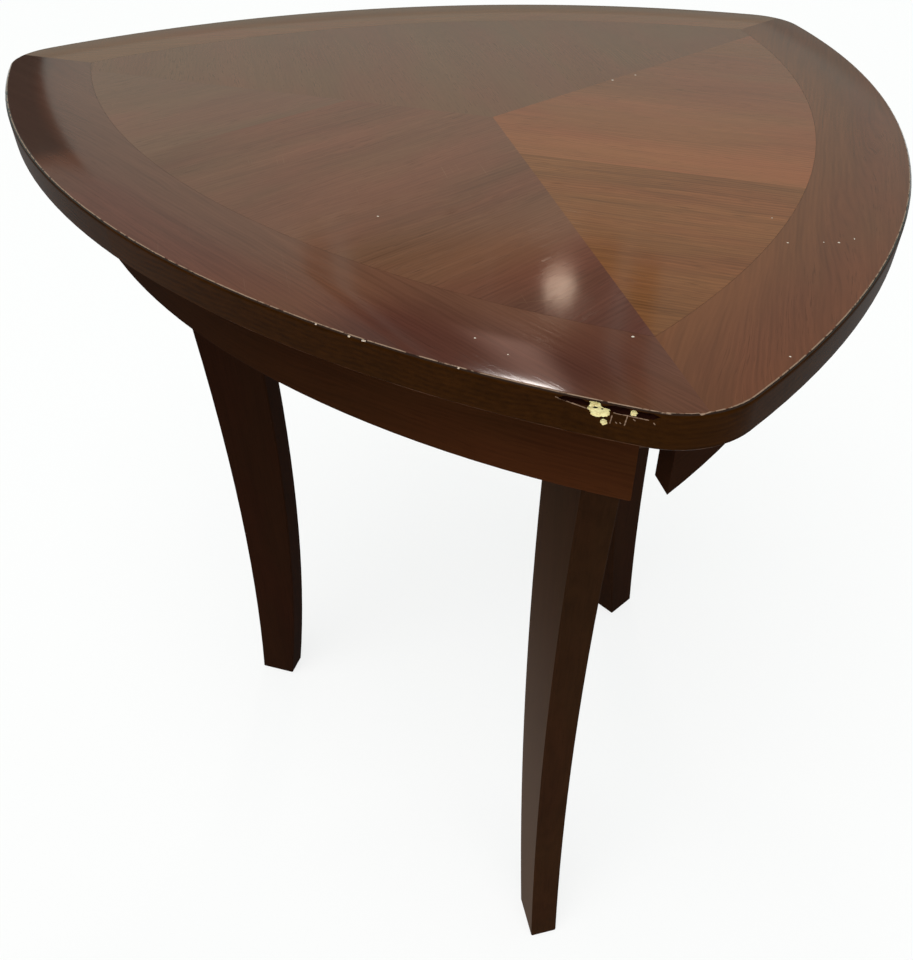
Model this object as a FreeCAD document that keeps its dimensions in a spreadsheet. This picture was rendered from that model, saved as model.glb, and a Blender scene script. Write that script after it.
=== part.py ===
import FreeCAD, Part
import Sketcher
import os
from math import atan2, cos, pi, radians, sin, sqrt

doc = FreeCAD.newDocument("side_table")

# Driving dimensions in millimetres. The table stands on z = 0 and its threefold axis is the Z axis.
driving = {
    "top_height": 610.0,
    "top_thick": 16.0,
    "side_radius": 551.0,
    "side_reach": 245.0,
    "corner_radius": 40.0,
    "edge_round": 2.0,
    "edge_ease": 0.8,
    "band_thick": 4.0,
    "veneer_thick": 0.6,
    "border_width": 51.0,
    "leaf_offset": 65.0,
    "field_shift": 17.0,
    "glue_line": 0.1,
    "cut_slack": 2.0,
    "rail_inset": 31.0,
    "rail_thick": 12.0,
    "rail_height": 53.0,
    "rail_slot": 16.6,
    "rail_ease": 0.8,
    "leg_thick": 22.0,
    "leg_depth": 59.0,
    "leg_ease": 1.0,
    "leg_outer_bow": 2300.0,
    "leg_inner_bow": 1960.0,
    "foot_inset": 7.0,
    "foot_depth": 34.0,
    "block_depth": 33.0,
    "block_tip": 10.0,
    "block_width": 84.0,
    "block_height": 40.0,
    "glue_block_size": 18.0,
    "glue_block_length": 60.0,
    "glide_radius": 8.0,
    "glide_thick": 3.0,
    "glide_taper": 1.0,
    "nail_radius": 1.2,
    "nail_length": 14.0,
    "bolt_radius": 3.0,
    "bolt_clearance": 0.4,
    "thread_clearance": 0.05,
    "bolt_drop": 10.0,
    "bolt_pitch": 20.0,
    "bolt_head_radius": 5.5,
    "bolt_head_height": 4.0,
    "socket_radius": 2.9,
    "socket_depth": 2.5,
    "washer_radius": 7.0,
    "washer_thick": 1.5,
    "insert_radius": 4.5,
    "insert_length": 13.0,
    "top_screw_radius": 2.0,
    "top_screw_head": 4.0,
    "top_screw_sink": 3.0,
    "top_screw_bite": 10.0,
    "top_screw_spread": 22.0,
    "top_screw_setback": 11.0,
    "rail_screw_radius": 1.75,
    "rail_screw_head": 3.5,
    "rail_screw_sink": 2.5,
    "rail_screw_bite": 8.0,
    "rail_screw_spread": 34.0,
    "rail_screw_drop": 20.0,
}

sheet = doc.addObject("Spreadsheet::Sheet", "dims")
for row, (alias, number) in enumerate(driving.items(), start=1):
    sheet.set(f"A{row}", alias)
    sheet.set(f"B{row}", str(number))
    sheet.setAlias(f"B{row}", alias)
doc.recompute()


class Size:
    # A length that carries its formula over the sheet's cells together with its present value.
    def __init__(self, formula, value):
        self.formula = formula
        self.value = value

    def join(self, sign, other, value):
        return Size(f"({self.formula} {sign} {other.formula})", value)

    def __add__(self, other):
        other = as_size(other)
        return self.join("+", other, self.value + other.value)

    def __sub__(self, other):
        other = as_size(other)
        return self.join("-", other, self.value - other.value)

    def __mul__(self, other):
        other = as_size(other)
        return self.join("*", other, self.value * other.value)

    def __truediv__(self, other):
        other = as_size(other)
        return self.join("/", other, self.value / other.value)


def as_size(thing):
    if isinstance(thing, Size):
        return thing
    number = round(float(thing), 9)
    return Size(f"({number:.9f})", number)


def root(size):
    return Size(f"sqrt({size.formula})", sqrt(size.value))


def cell(alias):
    return Size(f"dims.{alias}", driving[alias])


def turned(degrees, along, across):
    # Sheet formulas for a point given in a frame that is turned about the table's axis.
    cosine = cos(radians(degrees))
    sine = sin(radians(degrees))
    along = as_size(along)
    across = as_size(across)
    return along * cosine - across * sine, along * sine + across * cosine


# The table has three sides and three corners, each named from the front (-Y).
sides = {"front": 270, "right": 30, "left": 150}
corners = {"front_right": 330, "back": 90, "front_left": 210}
half_turn = 60

top_height = cell("top_height")
veneer_thick = cell("veneer_thick")
glue_line = cell("glue_line")
cut_slack = cell("cut_slack")
side_radius = cell("side_radius")
underside = top_height - cell("top_thick")
face_bottom = top_height - veneer_thick

# Every side is an arc whose centre lies beyond the axis, on the far side of the table.
side_centre = side_radius - cell("side_reach")
rail_outer = side_radius - cell("rail_inset")
rail_inner = rail_outer - cell("rail_thick")
rail_bottom = underside - cell("rail_height")

# The inner faces of two rails would meet at this distance from the axis.
rail_apex = (root(rail_inner * rail_inner * 4 - side_centre * side_centre * 3) - side_centre) / 2
leg_seat = rail_apex - cell("block_depth")
leg_back = leg_seat - cell("leg_depth")
block_bottom = underside - cell("block_height")
foot_outer = leg_seat - cell("foot_inset")
foot_inner = foot_outer - cell("foot_depth")
foot_middle = (foot_outer + foot_inner) / 2

parts = []


def finish_part(thing, label):
    thing.Label = label
    parts.append(thing)
    return thing


def bind(thing, **formulas):
    for name, size in formulas.items():
        thing.setExpression(name, as_size(size).formula)


def place(thing, degrees=0, along=0, across=0, up=0, tilt=None):
    # Sets a piece in a frame turned about the axis: out along the radius, across it and up.
    spin = FreeCAD.Rotation(FreeCAD.Vector(0, 0, 1), degrees)
    if tilt is not None:
        spin = spin.multiply(tilt)
    base_x, base_y = turned(degrees, along, across)
    base_z = as_size(up)
    base = FreeCAD.Vector(base_x.value, base_y.value, base_z.value)
    thing.Placement = FreeCAD.Placement(base, spin)
    for axis, size in zip("xyz", (base_x, base_y, base_z)):
        thing.setExpression(f"Placement.Base.{axis}", size.formula)
    return thing


outward = FreeCAD.Rotation(FreeCAD.Vector(0, 1, 0), 90)


def cylinder(name, radius, height, sweep=360, **where):
    thing = doc.addObject("Part::Cylinder", name)
    thing.Angle = sweep
    bind(thing, Radius=radius, Height=height)
    return place(thing, **where)


def cone(name, low, high, height, **where):
    thing = doc.addObject("Part::Cone", name)
    bind(thing, Radius1=low, Radius2=high, Height=height)
    return place(thing, **where)


def box(name, length, width, height, **where):
    thing = doc.addObject("Part::Box", name)
    bind(thing, Length=length, Width=width, Height=height)
    return place(thing, **where)


def common(name, first, *others):
    for count, other in enumerate(others):
        meet = doc.addObject("Part::Common", f"{name}_meet_{count}")
        meet.Base = first
        meet.Tool = other
        first = meet
    return first


def cut(name, base, *tools):
    for count, tool in enumerate(tools):
        rest = doc.addObject("Part::Cut", f"{name}_cut_{count}")
        rest.Base = base
        rest.Tool = tool
        base = rest
    return base


def fuse(name, *things):
    thing = doc.addObject("Part::MultiFuse", name)
    thing.Shapes = list(things)
    return thing


def group(name, things):
    thing = doc.addObject("Part::Compound", name)
    thing.Links = list(things)
    return thing


def new_sketch(body, name, plane_role):
    sketch = body.newObject("Sketcher::SketchObject", name)
    plane = [item for item in body.Origin.OriginFeatures if item.Role == plane_role][0]
    sketch.AttachmentSupport = [(plane, "")]
    sketch.MapMode = "FlatFace"
    return sketch


def hold(sketch, name, size, *constraint):
    # Adds one driving dimension to a sketch and ties it to the sheet.
    index = sketch.addConstraint(Sketcher.Constraint(*constraint, size.value))
    sketch.renameConstraint(index, name)
    sketch.setExpression(f"Constraints.{name}", size.formula)


def hold_offset(sketch, name, kind, size, geometry, point):
    # Holds a point at a signed distance from the sketch's origin.
    if size.value >= 0:
        hold(sketch, name, size, kind, -1, 1, geometry, point)
    else:
        hold(sketch, name, size * -1, kind, geometry, point, -1, 1)


def arc(centre_x, centre_y, radius, start, end):
    circle = Part.Circle(FreeCAD.Vector(centre_x, centre_y, 0), FreeCAD.Vector(0, 0, 1), radius)
    return Part.ArcOfCircle(circle, start, end)


def line(start, end):
    return Part.LineSegment(FreeCAD.Vector(*start, 0), FreeCAD.Vector(*end, 0))


def pad(body, sketch, length, side_type="One side"):
    feature = body.newObject("PartDesign::Pad", sketch.Name + "_pad")
    feature.Profile = sketch
    feature.SideType = side_type
    bind(feature, Length=length)
    doc.recompute()
    return feature


def dress(body, kind, feature, size_name, size, wanted):
    # Rounds or chamfers the edges of a feature that pass a test on their bounding box.
    names = []
    for index, edge in enumerate(feature.Shape.Edges, start=1):
        if wanted(edge):
            names.append(f"Edge{index}")
    dressed = body.newObject(kind, f"{feature.Name}_dressed")
    dressed.Base = (feature, names)
    bind(dressed, **{size_name: size})
    doc.recompute()
    return dressed


def flat_at(height):
    def test(edge):
        bounds = edge.BoundBox
        return abs(bounds.ZMin - height) < 1e-4 and abs(bounds.ZMax - height) < 1e-4
    return test


def outline_body(name, inset, bottom, height):
    # A plate with the outline of the top moved inwards: three long side arcs joined by corner arcs.
    body = doc.addObject("PartDesign::Body", name)
    sketch = new_sketch(body, f"{name}_outline", "XY_Plane")
    side = side_radius - inset
    corner = cell("corner_radius") - inset
    reach = side.value - corner.value
    corner_reach = (sqrt(4 * reach ** 2 - 3 * side_centre.value ** 2) - side_centre.value) / 2
    spread = atan2(corner_reach * sin(pi / 3), corner_reach / 2 + side_centre.value)
    for degrees in sides.values():
        middle = radians(degrees)
        centre_x = -side_centre.value * cos(middle)
        centre_y = -side_centre.value * sin(middle)
        sketch.addGeometry(arc(centre_x, centre_y, side.value, middle - spread, middle + spread))
        next_corner = middle + pi / 3
        corner_x = corner_reach * cos(next_corner)
        corner_y = corner_reach * sin(next_corner)
        sketch.addGeometry(arc(corner_x, corner_y, corner.value, middle + spread,
                               middle + 2 * pi / 3 - spread))
    count = 2 * len(sides)
    for index in range(count):
        sketch.addConstraint(Sketcher.Constraint("Tangent", index, 2, (index + 1) % count, 1))
    for index, (side_name, degrees) in enumerate(sides.items()):
        centre_x, centre_y = turned(degrees, side_centre * -1, 0)
        hold(sketch, f"side_{side_name}", side, "Radius", 2 * index)
        hold(sketch, f"corner_{side_name}", corner, "Radius", 2 * index + 1)
        if abs(centre_x.value) < 1e-6:
            sketch.addConstraint(Sketcher.Constraint("PointOnObject", 2 * index, 3, -2))
        else:
            hold_offset(sketch, f"centre_x_{side_name}", "DistanceX", centre_x, 2 * index, 3)
        hold_offset(sketch, f"centre_y_{side_name}", "DistanceY", centre_y, 2 * index, 3)
    place(body, up=bottom)
    return body, pad(body, sketch, height)


def pie(name, degrees, bottom, height, shift=0):
    # A third of a disc, centred on the given direction. Its tip can be moved towards the near corner.
    wedge = cylinder(name, side_radius, height, sweep=2 * half_turn, degrees=degrees - half_turn)
    base_x, base_y = turned(corners["front_right"], shift, 0)
    for axis, size in zip("xyz", (base_x, base_y, bottom)):
        wedge.setExpression(f"Placement.Base.{axis}", size.formula)
    return wedge


def inside_sides(name, radius, bottom, height):
    # The space inside three equal arcs that share the centres of the sides, with pointed corners.
    discs = []
    for side_name, degrees in sides.items():
        discs.append(cylinder(f"{name}_{side_name}", radius, height, degrees=degrees,
                              along=side_centre * -1, up=bottom))
    return common(name, *discs)


# Screw shafts, used both for the fasteners and, a little wider, for their holes.
def top_screw(name, degrees, across, clearance):
    along = leg_seat + cell("top_screw_setback")
    radius = cell("top_screw_radius") + clearance
    length = cell("block_height") + cell("top_screw_bite")
    where = {"degrees": degrees, "along": along, "across": across, "up": block_bottom}
    shank = cylinder(f"{name}_shank", radius, length, **where)
    head = cone(f"{name}_head", cell("top_screw_head") + clearance, radius, cell("top_screw_sink"), **where)
    return fuse(name, shank, head)


def rail_screw(name, degrees, across, clearance):
    # Runs out of the block into the rail and stops inside the rail's thickness.
    radius = cell("rail_screw_radius") + clearance
    lift = cell("rail_screw_spread") + side_centre * sin(pi / 3)
    rail_face = root(rail_inner * rail_inner - lift * lift) - side_centre / 2
    length = rail_face - leg_seat + cell("rail_screw_bite")
    where = {"degrees": degrees, "along": leg_seat, "across": across, "tilt": outward,
             "up": underside - cell("rail_screw_drop")}
    shank = cylinder(f"{name}_shank", radius, length, **where)
    head = cone(f"{name}_head", cell("rail_screw_head") + clearance, radius,
                cell("rail_screw_sink"), **where)
    return fuse(name, shank, head)


def both_ways(spread):
    return {"a": spread, "b": spread * -1}


top_screws = []
top_screw_holes = []
rail_screws = []
rail_screw_holes = []
for corner_name, degrees in corners.items():
    for way, across in both_ways(cell("top_screw_spread")).items():
        name = f"{corner_name}_{way}"
        top_screws.append(top_screw(f"top_screw_{name}", degrees, across, as_size(0)))
        top_screw_holes.append(top_screw(f"top_screw_hole_{name}", degrees, across,
                                         cell("thread_clearance")))
    for way, across in both_ways(cell("rail_screw_spread")).items():
        name = f"{corner_name}_{way}"
        rail_screws.append(rail_screw(f"rail_screw_{name}", degrees, across, as_size(0)))
        rail_screw_holes.append(rail_screw(f"rail_screw_hole_{name}", degrees, across,
                                           cell("thread_clearance")))
finish_part(group("top_screw_group", top_screws), "top_screws")
finish_part(group("rail_screw_group", rail_screws), "rail_screws")
top_drill = group("top_drill", top_screw_holes)
rail_drill = group("rail_drill", rail_screw_holes)

# The top panel: one rounded blank that is sliced into face veneer, lipping, core and backing.
blank, blank_pad = outline_body("top_blank", as_size(0), underside, cell("top_thick"))
blank_round = dress(blank, "PartDesign::Fillet", blank_pad, "Radius", cell("edge_round"),
                    flat_at(driving["top_thick"]))
dress(blank, "PartDesign::Chamfer", blank_round, "Size", cell("edge_ease"), flat_at(0))

panel_inset = cell("band_thick") + glue_line
core_blank, core_pad = outline_body("core_blank", panel_inset, underside + veneer_thick,
                                    cell("top_thick") - veneer_thick * 2)
finish_part(cut("core", core_blank, top_drill), "top_core")
backing_blank, backing_pad = outline_body("backing_blank", panel_inset, underside, veneer_thick)
finish_part(cut("backing", backing_blank, top_drill), "backing_veneer")

sheet_width = side_radius * 2
face_zone = box("face_zone", sheet_width, sheet_width, veneer_thick + cut_slack,
                along=side_radius * -1, across=side_radius * -1, up=face_bottom)
face_sheet = common("face_sheet", blank, face_zone)
field_hole = inside_sides("field_hole", side_radius - cell("border_width") + glue_line,
                          face_bottom - cut_slack, veneer_thick + cut_slack * 2)
border_ring = cut("border_ring", face_sheet, field_hole)
field = inside_sides("field", side_radius - cell("border_width"), face_bottom, veneer_thick)
for side_name, degrees in sides.items():
    third = pie(f"third_{side_name}", degrees, face_bottom - cut_slack, veneer_thick + cut_slack * 2)
    finish_part(common(f"border_{side_name}", border_ring, third), f"border_veneer_{side_name}")
    # The field's three sectors meet off the axis. Each is two leaves, butted beside its middle line.
    wedge = pie(f"wedge_{side_name}", degrees, face_bottom - cut_slack, veneer_thick + cut_slack * 2,
                cell("field_shift"))
    sector = common(f"sector_{side_name}", field, wedge)
    narrow = box(f"narrow_zone_{side_name}", side_radius, side_radius, veneer_thick + cut_slack * 2,
                 degrees=degrees, across=cell("leaf_offset") * -1 - side_radius,
                 up=face_bottom - cut_slack)
    finish_part(common(f"narrow_{side_name}", sector, narrow), f"field_leaf_{side_name}_narrow")
    finish_part(cut(f"wide_{side_name}", sector, narrow), f"field_leaf_{side_name}_wide")

band_zone = box("band_zone", sheet_width, sheet_width, cell("top_thick") - veneer_thick,
                along=side_radius * -1, across=side_radius * -1, up=underside)
band_hole, band_hole_pad = outline_body("band_hole", cell("band_thick"), underside - cut_slack,
                                        cell("top_thick") + cut_slack * 2)
band_ring = cut("band_ring", common("band_blank", blank, band_zone), band_hole)
for corner_name, degrees in corners.items():
    third = pie(f"band_third_{corner_name}", degrees, underside - cut_slack,
                cell("top_thick") + cut_slack * 2)
    finish_part(common(f"band_{corner_name}", band_ring, third), f"edge_band_{corner_name}")


# Apron rails: curved boards whose ends are cut parallel to the corner line, leaving an open slot.
def rail(side_name, degrees):
    name = f"rail_{side_name}"
    body = doc.addObject("PartDesign::Body", f"{name}_body")
    sketch = new_sketch(body, f"{name}_plan", "XY_Plane")
    half_slot = cell("rail_slot") / 2

    def end_point(radius):
        # Where the end cut meets an arc of this radius about the side's centre.
        across = half_slot.value
        reach = side_centre.value
        rest = (across * sin(pi / 3) + reach) ** 2 + (across / 2) ** 2 - radius ** 2
        run = (sqrt(reach ** 2 - 4 * rest) - reach) / 2
        return run / 2 + across * sin(pi / 3), run * sin(pi / 3) - across / 2

    outer_end = end_point(rail_outer.value)
    inner_end = end_point(rail_inner.value)
    for radius, end in ((rail_outer.value, outer_end), (rail_inner.value, inner_end)):
        spread = atan2(end[1], end[0] + side_centre.value)
        sketch.addGeometry(arc(-side_centre.value, 0, radius, -spread, spread))
    sketch.addGeometry(line(inner_end, outer_end))
    sketch.addGeometry(line((inner_end[0], -inner_end[1]), (outer_end[0], -outer_end[1])))
    for pair in ((2, 2, 0, 2), (2, 1, 1, 2), (3, 2, 0, 1), (3, 1, 1, 1), (0, 3, 1, 3)):
        sketch.addConstraint(Sketcher.Constraint("Coincident", *pair))
    sketch.addConstraint(Sketcher.Constraint("PointOnObject", 0, 3, -1))
    for index in (0, 1):
        sketch.addConstraint(Sketcher.Constraint("Symmetric", index, 1, index, 2, -1))
    hold_offset(sketch, "centre", "DistanceX", side_centre * -1, 0, 3)
    hold(sketch, "outer", rail_outer, "Radius", 0)
    hold(sketch, "inner", rail_inner, "Radius", 1)
    sketch.addConstraint(Sketcher.Constraint("Angle", 2, pi / 3))
    hold(sketch, "slot", half_slot, "Distance", -1, 1, 2)
    board = pad(body, sketch, cell("rail_height"))
    dress(body, "PartDesign::Chamfer", board, "Size", cell("rail_ease"), flat_at(0))
    place(body, degrees=degrees, up=rail_bottom)
    finish_part(cut(name, body, rail_drill), name)


for side_name, degrees in sides.items():
    rail(side_name, degrees)


def bowed(low, high, radius):
    # An arc between two points of the leg's profile, hollow on the side away from the axis.
    middle_x = (low[0] + high[0]) / 2
    middle_z = (low[1] + high[1]) / 2
    run_x = high[0] - low[0]
    run_z = high[1] - low[1]
    chord = sqrt(run_x ** 2 + run_z ** 2)
    drop = sqrt(radius ** 2 - chord ** 2 / 4)
    centre_x = middle_x + drop * run_z / chord
    centre_z = middle_z - drop * run_x / chord
    start = atan2(high[1] - centre_z, high[0] - centre_x)
    end = atan2(low[1] - centre_z, low[0] - centre_x) % (2 * pi)
    return arc(centre_x, centre_z, radius, start, end)


def bolt_holes(name, degrees, radius, start, length):
    holes = []
    for count in (0, 1):
        drop = cell("bolt_drop") + cell("bolt_pitch") * count
        holes.append(cylinder(f"{name}_{count}", radius, length, degrees=degrees, along=start,
                              up=underside - drop, tilt=outward))
    return holes


# Sabre legs: sawn from a board that stands in the radial plane, straight where they meet the block.
def leg(corner_name, degrees):
    name = f"leg_{corner_name}"
    body = doc.addObject("PartDesign::Body", f"{name}_body")
    sketch = new_sketch(body, f"{name}_profile", "XZ_Plane")
    floor_gap = cell("glide_thick")
    outer_foot = (foot_outer.value, floor_gap.value)
    inner_foot = (foot_inner.value, floor_gap.value)
    outer_knee = (leg_seat.value, block_bottom.value)
    inner_knee = (leg_back.value, block_bottom.value)
    outer_top = (leg_seat.value, underside.value)
    inner_top = (leg_back.value, underside.value)
    sketch.addGeometry(bowed(outer_foot, outer_knee, driving["leg_outer_bow"]))
    sketch.addGeometry(line(outer_knee, outer_top))
    sketch.addGeometry(line(outer_top, inner_top))
    sketch.addGeometry(line(inner_top, inner_knee))
    sketch.addGeometry(bowed(inner_foot, inner_knee, driving["leg_inner_bow"]))
    sketch.addGeometry(line(inner_foot, outer_foot))
    for pair in ((0, 1, 1, 1), (1, 2, 2, 1), (2, 2, 3, 1), (3, 2, 4, 1), (4, 2, 5, 1), (5, 2, 0, 2)):
        sketch.addConstraint(Sketcher.Constraint("Coincident", *pair))
    for kind, index in (("Vertical", 1), ("Vertical", 3), ("Horizontal", 2), ("Horizontal", 5)):
        sketch.addConstraint(Sketcher.Constraint(kind, index))
    hold(sketch, "seat", leg_seat, "DistanceX", -1, 1, 1, 2)
    hold(sketch, "top", underside, "DistanceY", -1, 1, 1, 2)
    hold(sketch, "depth", cell("leg_depth"), "DistanceX", 2, 2, 2, 1)
    hold(sketch, "outer_straight", cell("block_height"), "DistanceY", 1, 1, 1, 2)
    hold(sketch, "inner_straight", cell("block_height"), "DistanceY", 3, 2, 3, 1)
    hold(sketch, "foot_reach", foot_outer, "DistanceX", -1, 1, 5, 2)
    hold(sketch, "floor_gap", floor_gap, "DistanceY", -1, 1, 5, 2)
    hold(sketch, "foot_depth", cell("foot_depth"), "DistanceX", 5, 1, 5, 2)
    hold(sketch, "outer_bow", cell("leg_outer_bow"), "Radius", 0)
    hold(sketch, "inner_bow", cell("leg_inner_bow"), "Radius", 4)
    board = pad(body, sketch, cell("leg_thick"), "Symmetric")

    def long_edge(edge):
        return edge.BoundBox.ZLength > driving["block_height"] / 2

    dress(body, "PartDesign::Chamfer", board, "Size", cell("leg_ease"), long_edge)
    place(body, degrees=degrees)
    bolt_way = bolt_holes(f"{name}_bolt_way", degrees, cell("bolt_radius") + cell("bolt_clearance"),
                          leg_back - cut_slack, cell("leg_depth") + cut_slack * 2)
    nail_way = cylinder(f"{name}_nail_way", cell("nail_radius") + cell("thread_clearance"),
                        cell("nail_length") + cell("glide_thick"), degrees=degrees, along=foot_middle)
    finish_part(cut(name, body, *bolt_way, nail_way), name)


def glide(corner_name, degrees):
    name = f"foot_glide_{corner_name}"
    radius = cell("glide_radius")
    where = {"degrees": degrees, "along": foot_middle}
    taper = cell("glide_taper")
    sole = cone(f"{name}_sole", radius - taper, radius, taper, **where)
    disc = cylinder(f"{name}_disc", radius, cell("glide_thick") - taper, up=taper, **where)
    nail = cylinder(f"{name}_nail", cell("nail_radius"), cell("nail_length"), up=cell("glide_thick"), **where)
    finish_part(fuse(f"{name}_whole", sole, disc, nail), name)


# Corner blocks: fill the corner between two rails and give the leg a flat seat.
def corner_block(corner_name, degrees):
    name = f"corner_block_{corner_name}"
    width = cell("block_width")
    height = cell("block_height")
    blank_block = box(f"{name}_blank", cell("block_depth") - cell("block_tip"), width, height,
                      degrees=degrees, along=leg_seat, across=width / -2, up=block_bottom)
    walls = []
    for count, side in enumerate((degrees - half_turn, degrees + half_turn)):
        walls.append(cylinder(f"{name}_wall_{count}", rail_inner - glue_line, height, degrees=side,
                              along=side_centre * -1, up=block_bottom))
    sockets = bolt_holes(f"{name}_socket", degrees, cell("insert_radius") + cell("thread_clearance"),
                         leg_seat - cut_slack, cell("insert_length") + cut_slack)
    shaped = common(f"{name}_shape", blank_block, *walls)
    finish_part(cut(name, shaped, *sockets, top_drill, rail_drill), name)


for corner_name, degrees in corners.items():
    leg(corner_name, degrees)
    glide(corner_name, degrees)
    corner_block(corner_name, degrees)

# Glue blocks: hold the middle of each rail to the underside of the top.
for side_name, degrees in sides.items():
    name = f"glue_block_{side_name}"
    size = cell("glue_block_size")
    length = cell("glue_block_length")
    rail_face = rail_inner - side_centre
    blank_block = box(f"{name}_blank", size + cut_slack, length, size, degrees=degrees,
                      along=rail_face - size, across=length / -2, up=underside - size)
    wall = cylinder(f"{name}_wall", rail_inner - glue_line, size, degrees=degrees,
                    along=side_centre * -1, up=underside - size)
    finish_part(common(name, blank_block, wall), name)

# Leg bolts: two a leg, from the leg's inner edge into threaded inserts in the corner block.
bolts = []
washers = []
inserts = []
for corner_name, degrees in corners.items():
    for count in (0, 1):
        name = f"{corner_name}_{count}"
        drop = cell("bolt_drop") + cell("bolt_pitch") * count
        where = {"degrees": degrees, "up": underside - drop, "tilt": outward}
        radius = cell("bolt_radius")
        under_head = leg_back - cell("washer_thick")
        head_end = under_head - cell("bolt_head_height")
        shank = cylinder(f"bolt_shank_{name}", radius,
                         cell("washer_thick") + cell("leg_depth") + cell("insert_length"),
                         along=under_head, **where)
        head = cylinder(f"bolt_head_{name}", cell("bolt_head_radius"), cell("bolt_head_height"),
                        along=head_end, **where)
        socket = doc.addObject("Part::Prism", f"bolt_socket_{name}")
        socket.Polygon = 6
        bind(socket, Circumradius=cell("socket_radius"), Height=cell("socket_depth"))
        place(socket, along=head_end, **where)
        bolts.append(cut(f"bolt_{name}", fuse(f"bolt_solid_{name}", shank, head), socket))
        ring = cylinder(f"washer_ring_{name}", cell("washer_radius"), cell("washer_thick"),
                        along=under_head, **where)
        ring_way = cylinder(f"washer_way_{name}", radius + cell("bolt_clearance"), cell("washer_thick"),
                            along=under_head, **where)
        washers.append(cut(f"washer_{name}", ring, ring_way))
        sleeve = cylinder(f"insert_sleeve_{name}", cell("insert_radius"), cell("insert_length"),
                          along=leg_seat, **where)
        thread = cylinder(f"insert_thread_{name}", radius + cell("thread_clearance"),
                          cell("insert_length"), along=leg_seat, **where)
        inserts.append(cut(f"insert_{name}", sleeve, thread))
finish_part(group("bolt_group", bolts), "leg_bolts")
finish_part(group("washer_group", washers), "leg_washers")
finish_part(group("insert_group", inserts), "threaded_inserts")

doc.recompute()

for thing in doc.Objects:
    if "Invalid" in thing.State or "Error" in thing.State:
        raise RuntimeError(f"{thing.Name} failed: {thing.State}")
for thing in parts:
    if thing.Shape.isNull() or not thing.Shape.isValid() or not thing.Shape.Solids:
        raise RuntimeError(f"{thing.Label} has no valid solid")

os.makedirs("parts", exist_ok=True)
for thing in parts:
    thing.Shape.exportStep(f"parts/{thing.Label}.step")
    print(thing.Label, len(thing.Shape.Solids), round(thing.Shape.Volume, 1))
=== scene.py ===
import math

import bmesh
import bpy
from mathutils import Matrix, Vector, noise


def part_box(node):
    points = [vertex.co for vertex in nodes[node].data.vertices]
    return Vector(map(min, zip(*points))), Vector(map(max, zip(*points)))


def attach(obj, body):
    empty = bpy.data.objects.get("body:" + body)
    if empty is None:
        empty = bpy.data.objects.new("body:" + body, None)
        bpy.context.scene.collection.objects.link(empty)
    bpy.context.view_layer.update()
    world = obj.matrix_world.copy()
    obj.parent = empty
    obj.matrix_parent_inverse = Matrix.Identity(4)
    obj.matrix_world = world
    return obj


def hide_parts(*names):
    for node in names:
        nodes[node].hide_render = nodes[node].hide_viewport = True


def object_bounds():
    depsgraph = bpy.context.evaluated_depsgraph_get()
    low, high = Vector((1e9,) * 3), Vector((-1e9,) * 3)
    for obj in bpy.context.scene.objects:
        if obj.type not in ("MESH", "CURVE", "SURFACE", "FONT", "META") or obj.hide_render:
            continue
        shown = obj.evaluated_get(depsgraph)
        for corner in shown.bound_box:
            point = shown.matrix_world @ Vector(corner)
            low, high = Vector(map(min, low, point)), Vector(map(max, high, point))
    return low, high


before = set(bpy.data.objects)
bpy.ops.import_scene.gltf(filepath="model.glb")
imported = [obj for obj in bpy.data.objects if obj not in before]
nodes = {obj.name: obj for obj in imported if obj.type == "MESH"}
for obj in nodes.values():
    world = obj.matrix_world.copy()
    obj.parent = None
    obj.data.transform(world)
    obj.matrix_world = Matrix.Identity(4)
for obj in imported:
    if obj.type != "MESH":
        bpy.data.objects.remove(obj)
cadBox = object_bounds()
scene = bpy.context.scene
mm = 0.001

# threefold plan: where each side's middle and each corner points, in degrees round the axis
plan = {
    "sides": {"front": 270.0, "right": 30.0, "left": 150.0},
    "corners": {"front_right": 330.0, "back": 90.0, "front_left": 210.0},
    "sideRadius": 551 * mm,
    "sideReach": -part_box("edge_band_front_left")[0][1],
    "topHeight": cadBox[1][2],
    "underside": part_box("backing_veneer")[0][2],
    "edgeRound": 2 * mm,
}
plan["arcCentre"] = plan["sideRadius"] - plan["sideReach"]  # a side's arc is struck from beyond the axis
print("frame:", len(nodes), "nodes, top at", round(plan["topHeight"], 4))

white = (1.0, 1.0, 1.0, 1.0)
noShift = (0.0, 0.0, 0.0)


def screenColour(red, green, blue):
    # screen values from 0 to 255 become the linear colour that a socket holds
    def toLinear(value):
        value = value / 255
        return value / 12.92 if value <= 0.04045 else ((value + 0.055) / 1.055) ** 2.4

    return (toLinear(red), toLinear(green), toLinear(blue), 1.0)


def scaleColour(colour, red, green, blue):
    return (colour[0] * red, colour[1] * green, colour[2] * blue, 1.0)


def pointing(heading, height):
    # the direction at so many degrees round the axis and above the floor
    heading = math.radians(heading)
    height = math.radians(height)
    flat = math.cos(height)
    return Vector((math.cos(heading) * flat, math.sin(heading) * flat, math.sin(height)))


# small helpers for node trees: a value is either a number or the socket that feeds it
def feed(tree, target, value):
    if isinstance(value, bpy.types.NodeSocket):
        tree.links.new(value, target)
    else:
        target.default_value = value


def feedAll(tree, node, inputs):
    for name, value in inputs.items():
        feed(tree, node.inputs[name], value)


def addNode(tree, kind, inputs=None, **settings):
    node = tree.nodes.new("ShaderNode" + kind)
    for name, value in settings.items():
        setattr(node, name, value)
    feedAll(tree, node, inputs or {})
    return node


def sums(tree, operation, *values):
    return addNode(tree, "Math", dict(enumerate(values)), operation=operation).outputs[0]


def vectorSums(tree, operation, *values):
    node = addNode(tree, "VectorMath", dict(enumerate(values)), operation=operation)
    return node.outputs["Value" if operation in ("DOT_PRODUCT", "DISTANCE") else "Vector"]


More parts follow.
